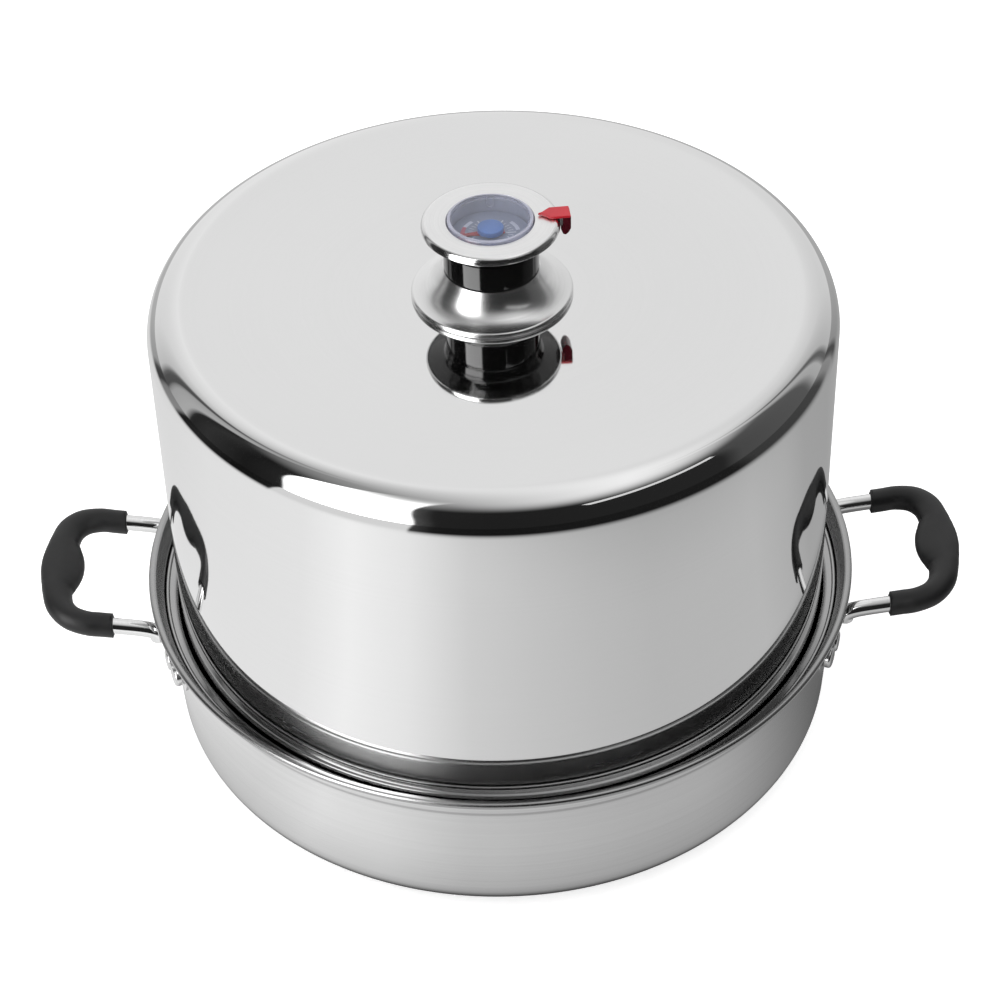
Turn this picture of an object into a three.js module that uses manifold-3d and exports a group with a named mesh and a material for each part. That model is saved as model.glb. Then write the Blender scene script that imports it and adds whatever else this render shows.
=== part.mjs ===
// A stove-top steam canner: a shallow water pan with two side handles, a perforated
// rack that hangs in the pan, and a deep lid that stands on the rack. The lid's knob
// holds a dial thermometer and a clip that slides round the cap to mark an altitude.
// Millimetres, +Z up, origin at the centre of the pan's underside, handles along X.
import * as THREE from 'three';
import { mergeVertices } from 'three/addons/utils/BufferGeometryUtils.js';
import Module from 'manifold-3d';

const wasm = await Module();
wasm.setup();

// Driving dimensions
const sheet = 1.0;              // thickness of the pan's and the lid's steel
const fitGap = 0.3;             // gap between pieces that touch
const shellFacets = 40;         // facets round the big turned pieces
const knobFacets = 20;          // facets round the knob's pieces

const pan = { footRadius: 136.2, footCorner: 19, wallRadius: 157.6, wallTop: 66.5 };
const panRim = { radius: 165, height: 80.9 };
const rack = { plateTop: 50, sheet: 0.8, wallRadius: 151.9, flangeTop: 70.7, beadRadius: 156.6 };
const rackHoles = { radius: 5, sides: 6, ringStep: 33, rings: 4, perRing: 6 };
const lid = { radius: 151.2, top: 234.1, shoulder: 15.2, dish: 3.5, holeRadius: 5.6 };
const ventHole = { radius: 3, height: 92, azimuths: [60, 120] };

const handle = { legY: 36.5, rodRadius: 3.75, reach: 208, corner: 22 };
const leg = { x: 159.6, footZ: 57.5, bendZ: 61.5 };                 // where a rod's end stands on its bracket
const loop = { startX: 179, startZ: 72.3, slope: 0.165 };           // the handle's loop climbs outward
const grip = { startX: 179.5, thickness: 5.75, boreRadius: 4.1 };
const bracket = { inner: 158.3, outer: 159.7, from: 9.5, to: 25, low: 56.5, high: 67 };
const rivet = { azimuths: [18, 23], height: 62, headRadius: 4.9, headThick: 2.9, shankRadius: 2.2 };
const rivetHole = 2.6;

const knobBase = lid.top - lid.dish;    // the lid's top at its centre, where the knob stands
const skirt = { radius: 35.3, topRadius: 21.2, height: 13.2, holeRadius: 10.5 };
const collar = { radius: 20.8, bossRadius: 10, boreRadius: 5.4, top: 36.1 };
const cavity = { radius: 18.7, floor: 18 };           // room for the gauge inside the collar
const cap = { radius: 30.3, top: 37.6, holeRadius: 18.9 };
const dial = { radius: 17.4, top: 29.6, thickness: 0.8, restAzimuth: 190 };
const clip = { azimuth: 5, tip: 20.6, neck: 25.6, outer: 34.4, width: 7.8, bottom: 31.6 };
const stem = { radius: 5, boreRadius: 3.3, bottom: -13 };
const probe = { radius: 2.9, boreRadius: 2.2, bottom: -46 };

// Finishes
function finish(color, roughness, metalness) {
  return new THREE.MeshStandardMaterial({ color, roughness, metalness });
}
const polishedSteel = finish(0xd9dadc, 0.08, 1);
const satinSteel = finish(0xc4c6c9, 0.25, 1);
const blackPlastic = finish(0x141415, 0.12, 0);
const blackGrip = finish(0x1d1d1e, 0.6, 0);
const redEnamel = finish(0xd8323f, 0.35, 0);
const blueCap = finish(0x3f74c4, 0.4, 0);
const whiteDial = finish(0xe9ebee, 0.5, 0);
const clearLens = finish(0xdfe6f2, 0.05, 0);
const greyRubber = finish(0x8a8d90, 0.8, 0);
const bronze = finish(0xa67c45, 0.4, 1);

const canner = new THREE.Group();

function radians(degrees) {
  return THREE.MathUtils.degToRad(degrees);
}

// Closed solid of a geometry: shared corners merged and empty triangles dropped
function solidOf(geometry) {
  const bare = geometry.clone();
  bare.deleteAttribute('normal');
  bare.deleteAttribute('uv');
  const merged = mergeVertices(bare, 1e-4);
  const corners = merged.index.array;
  const triVerts = [];
  for (let i = 0; i < corners.length; i += 3) {
    const [a, b, c] = corners.slice(i, i + 3);
    if (a !== b && b !== c && c !== a) {
      triVerts.push(a, b, c);
    }
  }
  const mesh = new wasm.Mesh({
    numProp: 3,
    vertProperties: Float32Array.from(merged.attributes.position.array),
    triVerts: Uint32Array.from(triVerts),
  });
  return new wasm.Manifold(mesh);
}

function geometryOf(solid) {
  const mesh = solid.getMesh();
  const geometry = new THREE.BufferGeometry();
  geometry.setAttribute('position', new THREE.BufferAttribute(mesh.vertProperties, 3));
  geometry.setIndex(new THREE.BufferAttribute(mesh.triVerts, 1));
  geometry.computeVertexNormals();
  return geometry;
}

function cut(geometry, tools) {
  return geometryOf(tools.reduce((solid, tool) => solid.subtract(solidOf(tool)), solidOf(geometry)));
}

function join(geometry, other) {
  return geometryOf(solidOf(geometry).add(solidOf(other)));
}

function addPart(name, geometry, material, base = 0, turn = 0) {
  const mesh = new THREE.Mesh(geometry, material);
  mesh.name = name;
  mesh.position.z = base;
  mesh.rotation.z = turn;
  canner.add(mesh);
}

// Solid of revolution about +Z from [radius, height] points that run round the section
function turned(points, facets) {
  const closed = points[0][0] === 0 ? points : [...points, points[0]];
  const profile = closed.map(([radius, height]) => new THREE.Vector2(radius, height));
  return new THREE.LatheGeometry(profile, facets).rotateX(Math.PI / 2);
}

// Points of a rounded corner in a section, angles in degrees from the +radius direction
function arc(centreRadius, centreHeight, size, from, to, steps) {
  return Array.from({ length: steps + 1 }, (_, i) => {
    const angle = radians(from + ((to - from) * i) / steps);
    return [centreRadius + size * Math.cos(angle), centreHeight + size * Math.sin(angle)];
  });
}

// Round bar standing on its end, for drilling and for pins
function bar(radius, low, high, facets) {
  return new THREE.CylinderGeometry(radius, radius, high - low, facets)
    .rotateX(Math.PI / 2)
    .translate(0, 0, (low + high) / 2);
}

// The same bar lying along a radius of the canner at an azimuth and a height
function radialBar(radius, inner, outer, azimuth, height, facets) {
  return bar(radius, inner, outer, facets)
    .rotateY(Math.PI / 2)
    .translate(0, 0, height)
    .rotateZ(radians(azimuth));
}

function rivetAzimuths() {
  const front = rivet.azimuths.map((azimuth) => -azimuth);
  const oneSide = [...front, ...rivet.azimuths];
  return [...oneSide, ...oneSide.map((azimuth) => azimuth + 180)];
}

// Water pan: flat foot, tapered wall, a small step that carries the rack, flared rim with a bead
function makePan() {
  const outside = [
    [0, 0],
    ...arc(pan.footRadius, pan.footCorner, pan.footCorner, -90, 0, 4),
    [pan.wallRadius, pan.wallTop],
    [158.9, 69.6],
    [159.5, 73],
    [162, 78.6],
  ];
  const bead = [
    [163.3, 78.3],
    [panRim.radius, 79],
    [panRim.radius, 80.2],
    [163.6, panRim.height],
    [161.6, 80.4],
  ];
  const inside = [
    [158.6, 73.6],
    [158.1, 70.3],
    [156.8, 70.1],
    [pan.wallRadius - sheet, pan.wallTop],
    ...arc(pan.footRadius, pan.footCorner, pan.footCorner - sheet, 0, -90, 4),
    [0, sheet],
  ];
  const shell = turned([...outside, ...bead, ...inside], shellFacets);
  const drill = (azimuth) => radialBar(rivetHole, 150, 162, azimuth, rivet.height, 8);
  addPart('pan', cut(shell, rivetAzimuths().map(drill)), satinSteel);
}

// Perforated rack: a plate with a drop wall whose beaded flange rests on the pan's step
function makeRack() {
  const low = rack.plateTop - rack.sheet;
  const outerWall = rack.wallRadius + rack.sheet;
  const blank = turned([
    [0, low],
    [150.9, low],
    [152.3, 49.6],
    [outerWall, 50.6],
    [outerWall, 68.6],
    [153.6, 69.7],
    [155.4, 69.9],
    [rack.beadRadius, 70.4],
    [157.7, 71.5],
    [157.4, 72.7],
    [rack.beadRadius, 73.1],
    [155.7, 72.4],
    [155.3, rack.flangeTop],
    [153.3, rack.flangeTop],
    [152.2, 70],
    [rack.wallRadius, 68.6],
    [rack.wallRadius, 50.9],
    [151.4, rack.plateTop],
    [0, rack.plateTop],
  ], shellFacets);
  const drills = [bar(rackHoles.radius, low - 2, rack.plateTop + 2, rackHoles.sides)];
  for (let ring = 1; ring < rackHoles.rings; ring += 1) {
    const count = rackHoles.perRing * ring;
    for (let i = 0; i < count; i += 1) {
      const drill = drills[0].clone().translate(rackHoles.ringStep * ring, 0, 0);
      drills.push(drill.rotateZ(radians((360 * (i + 0.5)) / count)));
    }
  }
  addPart('rack', cut(blank, drills), satinSteel);
}

// Deep lid: straight wall, round shoulder and a top that dishes gently to the knob
function makeLid() {
  const foot = rack.plateTop + fitGap;
  const flatRadius = lid.radius - lid.shoulder;
  const shoulderHeight = lid.top - lid.shoulder;
  const dishHeight = (share) => lid.top - lid.dish * (1 - share ** 4);
  const dished = [0.8, 0.6, 0.35].map((share) => [flatRadius * share, dishHeight(share)]);
  const above = [
    [lid.radius, foot],
    ...arc(flatRadius, shoulderHeight, lid.shoulder, 0, 90, 5),
    ...dished,
    [lid.holeRadius, knobBase],
  ];
  const below = [
    [lid.holeRadius, knobBase - sheet],
    ...dished.reverse().map(([radius, height]) => [radius, height - sheet]),
    ...arc(flatRadius, shoulderHeight, lid.shoulder - sheet, 90, 0, 5),
    [lid.radius - sheet, foot],
  ];
  const shell = turned([...above, ...below], shellFacets);
  const vent = (azimuth) => radialBar(ventHole.radius, 145, 156, azimuth, ventHole.height, 8);
  addPart('lid', cut(shell, ventHole.azimuths.map(vent)), polishedSteel);
}

// Height of the handle's loop above the stove, at a distance from the canner's middle
function loopHeight(x) {
  return loop.startZ + loop.slope * (x - loop.startX);
}

// Path of one handle's rod, from the foot of one leg round the loop to the other
function rodPath() {
  const { legY, reach, corner } = handle;
  const round = Math.tan(Math.PI / 8) * (4 / 3);     // handle length of a quarter-circle Bezier
  const inLoop = (x, y) => new THREE.Vector3(x, y, loopHeight(x));
  const path = new THREE.CurvePath();
  const line = (a, b) => path.add(new THREE.LineCurve3(a, b));
  const turn = (start, knee, end) => {
    const first = start.clone().lerp(knee, round);
    const second = end.clone().lerp(knee, round);
    path.add(new THREE.CubicBezierCurve3(start, first, second, end));
  };
  const legPoints = (y) => [
    new THREE.Vector3(leg.x, y, leg.footZ),
    new THREE.Vector3(leg.x, y, leg.bendZ),
    new THREE.Vector3(leg.x, y, leg.bendZ + 5.5),
    inLoop(loop.startX - 10.5, y),
    inLoop(loop.startX, y),
  ];
  const front = legPoints(-legY);
  const rear = legPoints(legY).reverse();
  line(front[0], front[1]);
  path.add(new THREE.CubicBezierCurve3(...front.slice(1)));
  line(front[4], inLoop(reach - corner, -legY));
  turn(inLoop(reach - corner, -legY), inLoop(reach, -legY), inLoop(reach, corner - legY));
  line(inLoop(reach, corner - legY), inLoop(reach, legY - corner));
  turn(inLoop(reach, legY - corner), inLoop(reach, legY), inLoop(reach - corner, legY));
  line(inLoop(reach - corner, legY), rear[0]);
  path.add(new THREE.CubicBezierCurve3(...rear.slice(0, 4)));
  line(rear[3], rear[4]);
  return path;
}

// Round tube along the rod's path
function rodTube(radius, steps, sides) {
  const points = Array.from({ length: sides }, (_, i) => {
    const angle = (2 * Math.PI * i) / sides;
    return new THREE.Vector2(radius * Math.cos(angle), radius * Math.sin(angle));
  });
  return new THREE.ExtrudeGeometry(new THREE.Shape(points), {
    steps,
    bevelEnabled: false,
    extrudePath: rodPath(),
  });
}

// Moulded grip: oval sections lofted along the handle's loop, swelling to a finger rest in
// the middle. Stations are the centre of each section and its half width, for y from 0 up.
function gripLoft() {
  const half = [
    [206.3, 0, 9.9],
    [206.5, 6, 9.5],
    [207, 12, 8.2],
    [207.1, 17.5, 6.9],
    [204.9, 26.8, 6.5],
    [199.6, 33.5, 6.2],
    [192, 36.4, 5.8],
    [grip.startX + 1, handle.legY, 5.7],
    [grip.startX, handle.legY, 5],
  ];
  const stations = [...half.slice(1).reverse().map(([x, y, width]) => [x, -y, width]), ...half];
  const sides = 10;
  const positions = [];
  const indices = [];
  stations.forEach(([x, y, width], row) => {
    const before = stations[Math.max(row - 1, 0)];
    const after = stations[Math.min(row + 1, stations.length - 1)];
    const along = new THREE.Vector2(after[0] - before[0], after[1] - before[1]).normalize();
    const atEnd = row === 0 || row === stations.length - 1;
    for (let i = 0; i < sides; i += 1) {
      const angle = (2 * Math.PI * (i + 0.5)) / sides;
      const aside = Math.cos(angle) * width;
      const up = Math.sin(angle) * grip.thickness * (atEnd ? 0.88 : 1);
      const outward = x + along.y * aside;
      positions.push(outward, y - along.x * aside, loopHeight(outward) + up);
      if (row > 0) {
        const here = row * sides + i;
        const next = row * sides + ((i + 1) % sides);
        indices.push(here, next - sides, here - sides);
        indices.push(here, next, next - sides);
      }
    }
  });
  const last = (stations.length - 1) * sides;
  for (let i = 1; i < sides - 1; i += 1) {
    indices.push(0, i, i + 1);
    indices.push(last, last + i + 1, last + i);
  }
  const geometry = new THREE.BufferGeometry();
  geometry.setAttribute('position', new THREE.Float32BufferAttribute(positions, 3));
  geometry.setIndex(indices);
  return geometry;
}

// Curved plate on the pan's wall, drilled for its rivets
function bracketPlate(side) {
  const plate = new THREE.Shape();
  plate.absarc(0, 0, bracket.outer, radians(bracket.from), radians(bracket.to), false);
  plate.absarc(0, 0, bracket.inner, radians(bracket.to), radians(bracket.from), true);
  const depth = bracket.high - bracket.low;
  const blank = new THREE.ExtrudeGeometry(plate, { depth, bevelEnabled: false, curveSegments: 5 });
  blank.translate(0, 0, bracket.low);
  const turn = side > 0 ? 0 : -radians(bracket.from + bracket.to);
  blank.rotateZ(turn);
  const drill = (azimuth) => radialBar(rivetHole, 150, 165, side * azimuth, rivet.height, 8);
  return cut(blank, rivet.azimuths.map(drill));
}

// Rivet with a flat head inside the pan and a thicker rounded head outside
function rivetSolid(azimuth) {
  const inner = pan.wallRadius - sheet - 2.3;
  const seat = bracket.outer + fitGap + 0.1;
  const points = [
    [0, inner],
    [3.2, inner],
    [4, inner + 0.6],
    [4, inner + 1],
    [rivet.shankRadius, inner + 1],
    [rivet.shankRadius, seat],
    [rivet.headRadius, seat],
    [rivet.headRadius, seat + rivet.headThick - 0.8],
    [rivet.headRadius - 0.8, seat + rivet.headThick],
    [0, seat + rivet.headThick],
  ];
  return turned(points, 10)
    .rotateY(Math.PI / 2)
    .translate(0, 0, rivet.height)
    .rotateZ(radians(azimuth));
}

function makeHandles() {
  const ends = [['front', -1], ['rear', 1]];
  const rodSteps = 46;
  const rod = rodTube(handle.rodRadius, rodSteps, 8);
  const bore = rodTube(grip.boreRadius, rodSteps, 8);
  const gripShape = cut(gripLoft(), [bore]);
  [['right', 0], ['left', Math.PI]].forEach(([sideName, turn]) => {
    addPart(`${sideName}_handle_rod`, rod, polishedSteel, 0, turn);
    addPart(`${sideName}_grip`, gripShape, blackGrip, 0, turn);
    ends.forEach(([endName, side]) => {
      const end = turn === 0 ? side : -side;
      addPart(`${sideName}_${endName}_bracket`, bracketPlate(end), satinSteel, 0, turn);
      rivet.azimuths.forEach((azimuth, i) => {
        const name = `${sideName}_${endName}_rivet_${i + 1}`;
        addPart(name, rivetSolid(end * azimuth), satinSteel, 0, turn);
      });
    });
  });
}

// Bell-shaped steel skirt with a rolled edge that stands on the lid
function makeKnobSkirt() {
  const points = [
    [34.2, fitGap],
    [35, 0.7],
    [skirt.radius, 1.4],
    [35, 2.1],
    [34.2, 2.5],
    [30.4, 4.9],
    [27, 7.5],
    [24, 10.2],
    [skirt.topRadius, skirt.height],
    [skirt.holeRadius, skirt.height],
    [skirt.holeRadius, 12],
    [20.3, 12],
    [23.1, 9.3],
    [26.2, 6.5],
    [29.7, 3.9],
    [33.2, 1.6],
  ];
  addPart('knob_skirt', turned(points, knobFacets), polishedSteel, knobBase);
}

// Black moulded body: a boss down to the lid, a grooved collar and a flange under the cap
function makeKnobCollar() {
  const foot = skirt.height + fitGap;
  const points = [
    [collar.boreRadius, fitGap],
    [collar.bossRadius, fitGap],
    [collar.bossRadius, foot],
    [20.4, foot],
    [collar.radius, foot + 0.6],
    [collar.radius, 26.3],
    [20.2, 26.8],
    [20.2, 27.3],
    [collar.radius, 27.8],
    [21.4, 31.5],
    [27.3, 33.8],
    [27.6, collar.top],
    [cavity.radius, collar.top],
    [cavity.radius, cavity.floor],
    [collar.boreRadius, cavity.floor],
  ];
  addPart('knob_collar', turned(points, knobFacets), blackPlastic, knobBase);
}

// Pressed steel cap: a flat ring with a turned-down edge
function makeKnobCap() {
  const under = cap.top - 1.2;
  const points = [
    [cap.holeRadius, under],
    [28, under],
    [28.9, 35.7],
    [29, 34.2],
    [29.7, 33.9],
    [30.2, 34.5],
    [cap.radius, 35.6],
    [29.8, 36.9],
    [28.6, cap.top],
    [cap.holeRadius, cap.top],
  ];
  addPart('knob_cap', turned(points, knobFacets), polishedSteel, knobBase);
}

// Hollow threaded stem with a flange, and the pieces that clamp it under the lid
function makeStem() {
  const flangeLow = cavity.floor + fitGap;
  const stemPoints = [
    [stem.boreRadius, stem.bottom],
    [stem.radius, stem.bottom],
    [stem.radius, flangeLow],
    [9, flangeLow],
    [9, flangeLow + 2],
    [stem.boreRadius, flangeLow + 2],
  ];
  addPart('knob_stem', turned(stemPoints, 16), satinSteel, knobBase);
  const ring = (inner, outer, low, high, facets) => turned([
    [inner, low],
    [outer, low],
    [outer, high],
    [inner, high],
  ], facets);
  const bore = stem.radius + fitGap;
  addPart('seal_washer', ring(bore, 12, -3.3, -1.3, 20), greyRubber, knobBase);
  addPart('steel_washer', ring(bore, 10.5, -4.8, -3.6, 20), satinSteel, knobBase);
  const nutBlank = bar(9.2, -10.1, -5.1, 6);
  addPart('lock_nut', cut(nutBlank, [bar(bore, -12, -4, 16)]), satinSteel, knobBase);
}

// Thermometer: cup, dial, lens, and a probe tube that reaches into the steam
function makeGauge() {
  const cupLow = cavity.floor + 2.6;
  const dialSeat = dial.top - dial.thickness - fitGap;
  const cupTop = cap.top - 1.6;
  const cupPoints = [
    [3.2, cupLow],
    [18.4, cupLow],
    [18.4, cupTop],
    [17.8, cupTop],
    [17.8, dialSeat],
    [16.5, dialSeat],
    [16.5, cupLow + 0.6],
    [3.2, cupLow + 0.6],
  ];
  addPart('gauge_cup', turned(cupPoints, knobFacets), satinSteel, knobBase);
  const dialPoints = [
    [1.5, dial.top - dial.thickness],
    [dial.radius, dial.top - dial.thickness],
    [dial.radius, dial.top],
    [1.5, dial.top],
  ];
  addPart('dial_plate', turned(dialPoints, knobFacets), whiteDial, knobBase);
  const lensFoot = cupTop + fitGap;
  const lensPoints = [
    [0, 38],
    [10, 37.8],
    [16.5, 37.2],
    [17, lensFoot],
    [18.6, lensFoot],
    [18.6, 38.3],
    [17.2, 38.8],
    [10, 39.2],
    [0, 39.3],
  ];
  addPart('gauge_lens', turned(lensPoints, knobFacets), clearLens, knobBase);
  const probeTop = cupLow + 1.7;
  const probePoints = [
    [0, probe.bottom],
    [2.2, probe.bottom],
    [probe.radius, probe.bottom + 1],
    [probe.radius, probeTop - 0.8],
    [5, probeTop - 0.8],
    [5, probeTop],
    [probe.boreRadius, probeTop],
    [probe.boreRadius, probe.bottom + 1.2],
    [0, probe.bottom + 1.2],
  ];
  addPart('probe_tube', turned(probePoints, 12), satinSteel, knobBase);
}

// Coiled strip in the probe that turns the spindle as it warms
class Helix extends THREE.Curve {
  getPoint(t) {
    const turns = 5;
    const angle = 2 * Math.PI * turns * t;
    const radius = 1.5;
    const height = THREE.MathUtils.lerp(-43, -20, t);
    return new THREE.Vector3(radius * Math.cos(angle), radius * Math.sin(angle), height);
  }
}

function makeNeedle() {
  const strip = new THREE.Shape([
    new THREE.Vector2(-0.3, -0.3),
    new THREE.Vector2(0.3, -0.3),
    new THREE.Vector2(0.3, 0.3),
    new THREE.Vector2(-0.3, 0.3),
  ]);
  const coil = new THREE.ExtrudeGeometry(strip, { steps: 50, bevelEnabled: false, extrudePath: new Helix() });
  addPart('bimetal_coil', coil, bronze, knobBase);
  addPart('needle_spindle', bar(0.6, -42.5, dial.top + 0.8, 8), satinSteel, knobBase);
  const pointer = new THREE.Shape([
    new THREE.Vector2(-2.2, -6),
    new THREE.Vector2(2.2, -6),
    new THREE.Vector2(1.8, 3),
    new THREE.Vector2(0.3, 15.5),
    new THREE.Vector2(-0.3, 15.5),
    new THREE.Vector2(-1.8, 3),
  ]);
  const blank = new THREE.ExtrudeGeometry(pointer, { depth: 0.5, bevelEnabled: false })
    .rotateZ(radians(dial.restAzimuth - 90))
    .translate(0, 0, dial.top + fitGap);
  const needle = cut(blank, [bar(0.9, dial.top - 2, dial.top + 4, 8)]);
  addPart('gauge_needle', needle, redEnamel, knobBase);
  const hubLow = dial.top + 1.1;
  const hubPoints = [
    [0, hubLow],
    [5.7, hubLow],
    [5.7, hubLow + 2.2],
    [5.2, hubLow + 2.7],
    [0, hubLow + 2.7],
  ];
  addPart('needle_hub', turned(hubPoints, 16), blueCap, knobBase);
}

// Red clip: an arrow lying on the cap and a hook round the cap's edge
function makeClip() {
  const low = cap.top + fitGap;
  const thick = 1;
  const half = clip.width / 2;
  const hookInner = clip.outer - thick;
  const arrow = new THREE.Shape([
    new THREE.Vector2(clip.tip, 0),
    new THREE.Vector2(clip.neck, -half),
    new THREE.Vector2(hookInner, -half),
    new THREE.Vector2(hookInner, half),
    new THREE.Vector2(clip.neck, half),
  ]);
  const plate = new THREE.ExtrudeGeometry(arrow, { depth: thick, bevelEnabled: false }).translate(0, 0, low);
  const hook = new THREE.Shape([
    new THREE.Vector2(31.5, low),
    new THREE.Vector2(hookInner - 0.6, low),
    new THREE.Vector2(hookInner, low - 0.8),
    new THREE.Vector2(hookInner, clip.bottom + 1.8),
    new THREE.Vector2(hookInner - 0.6, clip.bottom + thick),
    new THREE.Vector2(31, clip.bottom + thick),
    new THREE.Vector2(31, clip.bottom),
    new THREE.Vector2(hookInner, clip.bottom),
    new THREE.Vector2(clip.outer, clip.bottom + 1.2),
    new THREE.Vector2(clip.outer, low),
    new THREE.Vector2(hookInner, low + thick),
    new THREE.Vector2(31.5, low + thick),
  ]);
  const bent = new THREE.ExtrudeGeometry(hook, { depth: clip.width, bevelEnabled: false })
    .rotateX(Math.PI / 2)
    .translate(0, half, 0);
  addPart('altitude_clip', join(plate, bent), redEnamel, knobBase, radians(clip.azimuth));
}

makePan();
makeRack();
makeLid();
makeHandles();
makeKnobSkirt();
makeKnobCollar();
makeKnobCap();
makeStem();
makeGauge();
makeNeedle();
makeClip();

export default canner;
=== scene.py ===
import math
import bmesh
import bpy
from mathutils import Matrix, Vector


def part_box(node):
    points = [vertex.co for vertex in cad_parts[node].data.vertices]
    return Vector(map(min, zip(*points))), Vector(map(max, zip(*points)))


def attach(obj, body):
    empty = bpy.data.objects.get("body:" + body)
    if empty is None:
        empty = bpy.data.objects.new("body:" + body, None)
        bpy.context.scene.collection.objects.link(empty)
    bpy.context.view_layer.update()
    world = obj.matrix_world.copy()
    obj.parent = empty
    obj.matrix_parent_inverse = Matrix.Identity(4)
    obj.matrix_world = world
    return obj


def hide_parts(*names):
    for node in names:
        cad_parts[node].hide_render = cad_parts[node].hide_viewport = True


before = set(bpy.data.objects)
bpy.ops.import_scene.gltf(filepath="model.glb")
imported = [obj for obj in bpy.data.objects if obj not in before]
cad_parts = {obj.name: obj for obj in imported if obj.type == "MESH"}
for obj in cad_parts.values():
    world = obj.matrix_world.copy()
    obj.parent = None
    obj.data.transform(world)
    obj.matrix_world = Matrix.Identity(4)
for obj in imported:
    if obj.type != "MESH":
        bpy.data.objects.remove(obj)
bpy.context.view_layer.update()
print("frame loaded")

mm = 0.001
full = 2 * math.pi

# lens in millimetres, distance and target in metres, angles in degrees
view = {"lens": 97.6, "distance": 1.2578, "elevation": 40.4, "roll": -1.62,
        "target": (0.0008, 0, 0.1111)}


def placeCamera():
    data = bpy.data.cameras.new("camera")
    data.lens = view["lens"]
    data.clip_start = 0.01
    camera = bpy.data.objects.new("camera", data)
    bpy.context.scene.collection.objects.link(camera)
    elevation = math.radians(view["elevation"])
    back = Vector((0, -math.cos(elevation), math.sin(elevation)))
    turn = (-back).to_track_quat("-Z", "Y").to_matrix().to_4x4()
    roll = Matrix.Rotation(math.radians(view["roll"]), 4, "Z")
    place = Matrix.Translation(Vector(view["target"]) + view["distance"] * back)
    camera.matrix_world = place @ turn @ roll
    bpy.context.scene.camera = camera


placeCamera()


def linkMesh(name, mesh):
    piece = bpy.data.objects.new(name, mesh)
    bpy.context.scene.collection.objects.link(piece)
    return piece


def meshFrom(name, points, faces):
    mesh = bpy.data.meshes.new(name)
    mesh.from_pydata(points, [], faces)
    mesh.validate()
    return mesh


# faces out, smooth over gentle bends and sharp over edges
def smoothed(mesh, sharpFrom=35):
    shell = bmesh.new()
    shell.from_mesh(mesh)
    bmesh.ops.recalc_face_normals(shell, faces=shell.faces)
    shell.to_mesh(mesh)
    shell.free()
    mesh.polygons.foreach_set("use_smooth", [True] * len(mesh.polygons))
    mesh.set_sharp_from_angle(angle=math.radians(sharpFrom))
    return mesh


# Section corners are (radius, height) or (radius, height, rounding), in millimetres.
# Rounded corners become arcs, and long straight stretches are divided.
def roundedSection(corners, base=0.0, arcStep=8, longest=6):
    points = [Vector(corner[:2]) for corner in corners]
    outline = []
    for i, corner in enumerate(corners):
        here = points[i]
        if len(corner) < 3:
            outline.append(here)
            continue
        before = (points[i - 1] - here).normalized()
        after = (points[(i + 1) % len(points)] - here).normalized()
        half = before.angle(after) / 2
        centre = here + (before + after).normalized() * corner[2] / math.sin(half)
        start = here + before * corner[2] / math.tan(half) - centre
        end = here + after * corner[2] / math.tan(half) - centre
        first = math.atan2(start.y, start.x)
        turn = (math.atan2(end.y, end.x) - first + math.pi) % full - math.pi
        steps = max(2, round(abs(math.degrees(turn)) / arcStep))
        for k in range(steps + 1):
            angle = first + turn * k / steps
            outline.append(centre + corner[2] * Vector((math.cos(angle), math.sin(angle))))
    divided = []
    closed = corners[0][0] > 0
    for i, here in enumerate(outline):
        divided.append(here)
        if i + 1 < len(outline) or closed:
            there = outline[(i + 1) % len(outline)]
            pieces = math.ceil((there - here).length / longest)
            divided += [here.lerp(there, k / pieces) for k in range(1, pieces)]
    return [(point.x * mm, point.y * mm + base) for point in divided]


# points of a quadratic curve, for stretches of a section that follow no single radius
def curved(start, knee, end, steps=10):
    a, b, c = Vector(start), Vector(knee), Vector(end)
    return [tuple((1 - t) ** 2 * a + 2 * t * (1 - t) * b + t * t * c)
            for t in (k / steps for k in range(steps + 1))]


# a section turned round the upright axis; an outline that starts on the axis isn't closed
def turnedMesh(name, outline, around):
    points, rings = [], []
    onAxis = [radius < 1e-7 for radius, height in outline]
    for (radius, height), single in zip(outline, onAxis):
        rings.append(len(points))
        for k in range(1 if single else around):
            angle = full * k / around
            points.append((radius * math.cos(angle), radius * math.sin(angle), height))
    closed = not onAxis[0]
    faces = []
    for i in range(len(outline) - (0 if closed else 1)):
        j = (i + 1) % len(outline)
        for k in range(around):
            low, high = k, (k + 1) % around
            if onAxis[i]:
                faces.append((rings[i], rings[j] + high, rings[j] + low))
            elif onAxis[j]:
                faces.append((rings[i] + low, rings[i] + high, rings[j]))
            else:
                faces.append((rings[i] + low, rings[i] + high, rings[j] + high, rings[j] + low))
    return smoothed(meshFrom(name, points, faces))


# the piece's finish, the body it moves with, its slot, which is not used, and the CAD nodes it stands in for
def dress(piece, material, body, slot, *nodes):
    piece.data.materials.clear()
    piece.data.materials.append(material)
    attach(piece, body)
    if nodes:
        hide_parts(*nodes)
    return piece


# a second finish on the faces that the test picks
def secondFinish(piece, material, picked):
    piece.data.materials.append(material)
    for face in piece.data.polygons:
        if picked(face):
            face.material_index = 1


def facesInward(face):
    return face.center.x * face.normal.x + face.center.y * face.normal.y < 0


# an input is a value or another node's output
def addNode(tree, kind, inputs=None, **settings):
    made = tree.nodes.new(kind)
    for key, value in settings.items():
        setattr(made, key, value)
    for key, value in (inputs or {}).items():
        if hasattr(value, "links"):
            tree.links.new(value, made.inputs[key])
        else:
            made.inputs[key].default_value = value
    return made


# a material with the shader's constants set, underscores standing for spaces
def newFinish(name, **values):
    material = bpy.data.materials.new(name)
    material.use_nodes = True
    shader = material.node_tree.nodes["Principled BSDF"]
    for key, value in values.items():
        shader.inputs[key.replace("_", " ")].default_value = value
    return material, material.node_tree, shader


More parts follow.
